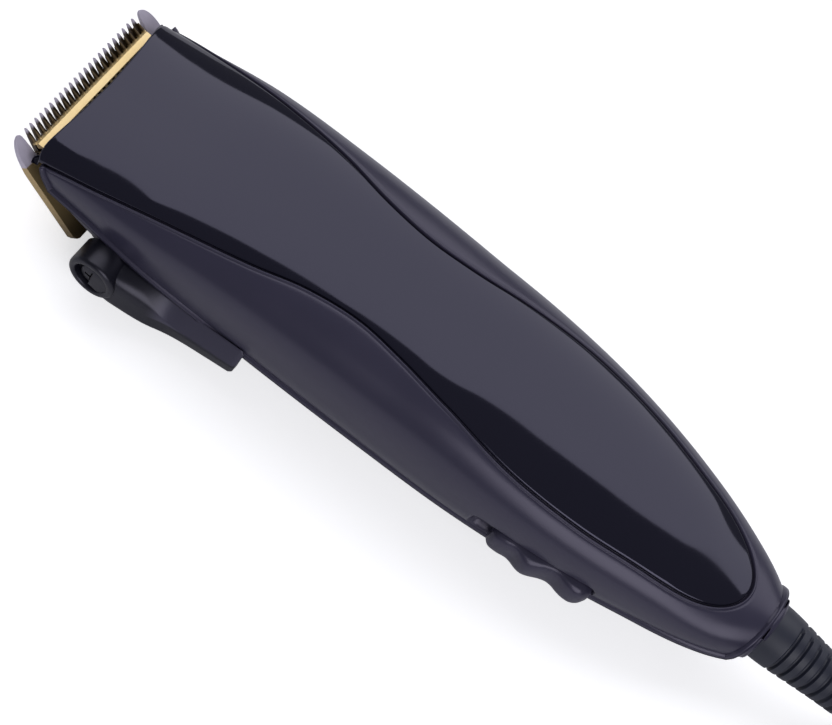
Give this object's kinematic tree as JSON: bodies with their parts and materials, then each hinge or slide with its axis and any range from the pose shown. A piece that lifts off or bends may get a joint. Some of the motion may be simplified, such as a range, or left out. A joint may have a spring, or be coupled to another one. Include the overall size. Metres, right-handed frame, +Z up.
{
  "type": "hair clipper",
  "caption": "Corded hair clipper with a comb and cutter blade, side taper lever, thumb switch, glossy top cover, ribbed strain relief and coiled mains lead.",
  "frame": {"origin": "point of the flat underside below the strain relief axis, on the symmetry plane of the housing", "axes": "+X from the blade tips towards the cord, +Y away from the taper lever, +Z up through the glossy cover"},
  "size_m": [0.3245, 0.0945, 0.038],
  "materials": {
    "gloss_cover": "gloss",
    "satin_shell": "satin",
    "dark_plastic": "satin",
    "screw_steel": "satin",
    "blade_brass": "satin",
    "white_nylon": "satin",
    "core_iron": "matte",
    "coil_copper": "gloss",
    "wire_jacket": "matte",
    "cord_rubber": "matte",
    "pin_nickel": "satin"
  },
  "bodies": {
    "housing": {"top_cover": "gloss_cover", "upper_housing": "satin_shell", "lower_housing": "satin_shell", "strain_relief": "cord_rubber", "laminated_core": "core_iron", "core_screw_1": "screw_steel", "core_screw_2": "screw_steel", "coil_bobbin": "white_nylon", "coil_winding": "coil_copper", "pivot_pin": "screw_steel", "return_spring_1": "screw_steel", "return_spring_2": "screw_steel", "tension_spring": "screw_steel", "switch_body": "white_nylon", "cord_clamp": "white_nylon", "clamp_screw_1": "screw_steel", "clamp_screw_2": "screw_steel", "lead_wire_1": "wire_jacket", "lead_wire_2": "wire_jacket", "housing_screw_1": "screw_steel", "housing_screw_2": "screw_steel", "housing_screw_3": "screw_steel", "power_cord": "cord_rubber", "cord_coil": "cord_rubber", "cord_tail": "cord_rubber", "cord_tie": "dark_plastic", "plug_body": "cord_rubber", "plug_pin_1": "pin_nickel", "plug_pin_2": "pin_nickel"},
    "carriage": {"fixed_blade": "blade_brass", "adjusting_plate": "dark_plastic", "blade_screw_1": "screw_steel", "blade_screw_2": "screw_steel"},
    "cutter": {"moving_blade": "blade_brass", "blade_guide": "white_nylon"},
    "lever": {"taper_lever": "dark_plastic", "lever_screw": "screw_steel", "lever_cam": "screw_steel"},
    "swing_arm": {"armature": "core_iron", "drive_arm": "white_nylon"},
    "switch": {"switch_slider": "dark_plastic"}
  },
  "joints": [
    {"name": "taper_lever_turn", "type": "hinge", "parent": "housing", "child": "lever", "pos_m": [-0.06744, -0.033, 0.0112], "axis": [0, 1, 0], "range_deg": [0, 60]},
    {"name": "blade_adjust", "type": "slide", "parent": "housing", "child": "carriage", "axis": [0.7681, 0, -0.6403], "range_m": [0, 0.0012]},
    {"name": "armature_swing", "type": "hinge", "parent": "housing", "child": "swing_arm", "pos_m": [0.03296, -0.0023, 0.01898], "axis": [0.0491, 0, 0.9988], "range_deg": [-0.7, 0.7], "stiffness_Nm_per_rad": 1},
    {"name": "cutter_slide", "type": "slide", "parent": "housing", "child": "cutter", "axis": [0, 1, 0], "range_m": [-0.0015, 0.0015]},
    {"name": "switch_slide", "type": "slide", "parent": "housing", "child": "switch", "axis": [-0.9883, -0.1445, 0.0486], "range_m": [0, 0.0054]}
  ],
  "couplings": [
    {"joint": "taper_lever_turn", "follows": "blade_adjust", "rad_per_m": 872.6},
    {"joint": "cutter_slide", "follows": "armature_swing", "m_per_rad": -0.1202}
  ]
}
